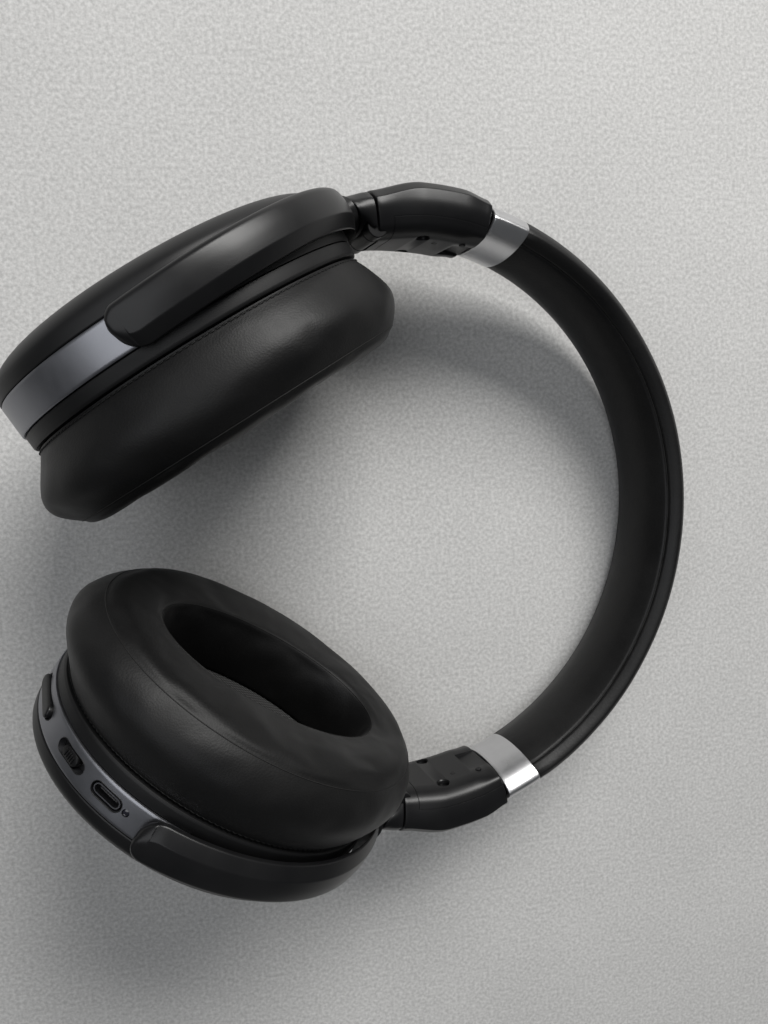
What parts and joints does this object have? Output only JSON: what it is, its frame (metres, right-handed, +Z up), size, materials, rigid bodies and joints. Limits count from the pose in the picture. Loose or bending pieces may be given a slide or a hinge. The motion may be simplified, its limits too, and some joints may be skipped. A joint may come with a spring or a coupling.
{
  "type": "over ear headphones",
  "caption": "Folding wireless over ear headphones with a padded band, metal sleeves, sliding and folding arms, C yokes and oval cups with soft cushions.",
  "frame": {"origin": "on the table under the middle of the headphones, as they lie on their side", "axes": "+Z up from the table; +X toward the crown of the headband; +Y toward the left cup"},
  "size_m": [0.1885, 0.179, 0.0877],
  "materials": {
    "cover_leather": "soft black leather look with fine grain",
    "core_plastic": "plain moulded",
    "spring_steel": "bright rolled",
    "sleeve_metal": "satin silver",
    "arm_plastic": "fine satin black",
    "yoke_plastic": "fine satin black",
    "cap_plastic": "soft matte black",
    "ring_metal": "satin gunmetal silver",
    "housing_plastic": "fine matte black",
    "cushion_leather": "soft black leather look with fine grain",
    "ear_cloth": "thin black knit",
    "driver_metal": "grey",
    "screw_steel": "zinc plated",
    "control_rubber": "matte dark",
    "port_metal": "plated",
    "led_plastic": "clear white",
    "board_green": "solder mask",
    "cell_wrap": "silver wrap"
  },
  "bodies": {
    "headband": {"headband_spring": "spring_steel", "headband_core": "core_plastic", "headband_cover": "cover_leather", "sleeve_left": "sleeve_metal", "sleeve_right": "sleeve_metal"},
    "arm_left": {"slider_strip_left": "spring_steel", "arm_shell_left": "arm_plastic", "arm_cover_left": "arm_plastic", "arm_screws_left": "screw_steel", "fold_pin_left": "screw_steel"},
    "hinge_left": {"knuckle_left": "arm_plastic"},
    "fork_left": {"yoke_left": "yoke_plastic", "swivel_screw_left": "screw_steel", "pivot_pins_left": "screw_steel"},
    "cup_left": {"cap_left": "cap_plastic", "ring_band_left": "ring_metal", "housing_left": "housing_plastic", "cushion_plate_left": "housing_plastic", "ear_cushion_left": "cushion_leather", "driver_left": "driver_metal", "driver_cloth_left": "ear_cloth", "housing_screws_left": "screw_steel", "battery": "cell_wrap"},
    "arm_right": {"slider_strip_right": "spring_steel", "arm_shell_right": "arm_plastic", "arm_cover_right": "arm_plastic", "arm_screws_right": "screw_steel", "fold_pin_right": "screw_steel"},
    "hinge_right": {"knuckle_right": "arm_plastic"},
    "fork_right": {"yoke_right": "yoke_plastic", "swivel_screw_right": "screw_steel", "pivot_pins_right": "screw_steel"},
    "cup_right": {"cap_right": "cap_plastic", "ring_band_right": "ring_metal", "housing_right": "housing_plastic", "cushion_plate_right": "housing_plastic", "ear_cushion_right": "cushion_leather", "driver_right": "driver_metal", "driver_cloth_right": "ear_cloth", "housing_screws_right": "screw_steel", "circuit_board": "board_green", "rocker_pin": "screw_steel", "usb_port": "port_metal", "led_lens": "led_plastic", "audio_socket": "core_plastic"},
    "rocker": {"volume_rocker": "control_rubber"},
    "switch": {"slide_switch": "control_rubber"}
  },
  "joints": [
    {"name": "slider_left", "type": "slide", "parent": "headband", "child": "arm_left", "axis": [-0.8999, 0.3907, 0.1938], "range_m": [0, 0.028]},
    {"name": "fold_left", "type": "hinge", "parent": "arm_left", "child": "hinge_left", "pos_m": [-0.00439, 0.07744, 0.03349], "axis": [0.2106, 0, 0.9776], "range_deg": [0, 72]},
    {"name": "swivel_left", "type": "hinge", "parent": "hinge_left", "child": "fork_left", "pos_m": [-0.01047, 0.08191, 0.0348], "axis": [-0.8245, -0.5373, 0.1776], "range_deg": [-19.5, 15.5]},
    {"name": "tilt_left", "type": "hinge", "parent": "fork_left", "child": "cup_left", "pos_m": [-0.06363, 0.04703, 0.04627], "axis": [0.1687, 0.0662, 0.9834], "range_deg": [-1.8, 8.2]},
    {"name": "slider_right", "type": "slide", "parent": "headband", "child": "arm_right", "axis": [-0.8999, -0.3907, 0.1938], "range_m": [0, 0.028]},
    {"name": "fold_right", "type": "hinge", "parent": "arm_right", "child": "hinge_right", "pos_m": [-0.00439, -0.07744, 0.03349], "axis": [0.2106, 0, 0.9776], "range_deg": [-72, 0]},
    {"name": "swivel_right", "type": "hinge", "parent": "hinge_right", "child": "fork_right", "pos_m": [-0.01047, -0.08191, 0.0348], "axis": [0.8245, -0.5373, -0.1776], "range_deg": [-31.5, 3.5]},
    {"name": "tilt_right", "type": "hinge", "parent": "fork_right", "child": "cup_right", "pos_m": [-0.06362, -0.04704, 0.04631], "axis": [-0.0527, 0.2395, -0.9695], "range_deg": [-8.1, 1.9]},
    {"name": "volume_rock", "type": "hinge", "parent": "cup_right", "child": "rocker", "pos_m": [-0.08446, -0.03278, 0.05796], "axis": [0.6072, 0.7784, 0.1593], "range_deg": [-3.5, 3.5], "stiffness_Nm_per_rad": 0.12},
    {"name": "switch_slide", "type": "slide", "parent": "cup_right", "child": "switch", "axis": [-0.5727, 0.5677, -0.5914], "range_m": [-0.0015, 0.0015], "stiffness_N_per_m": 300}
  ]
}
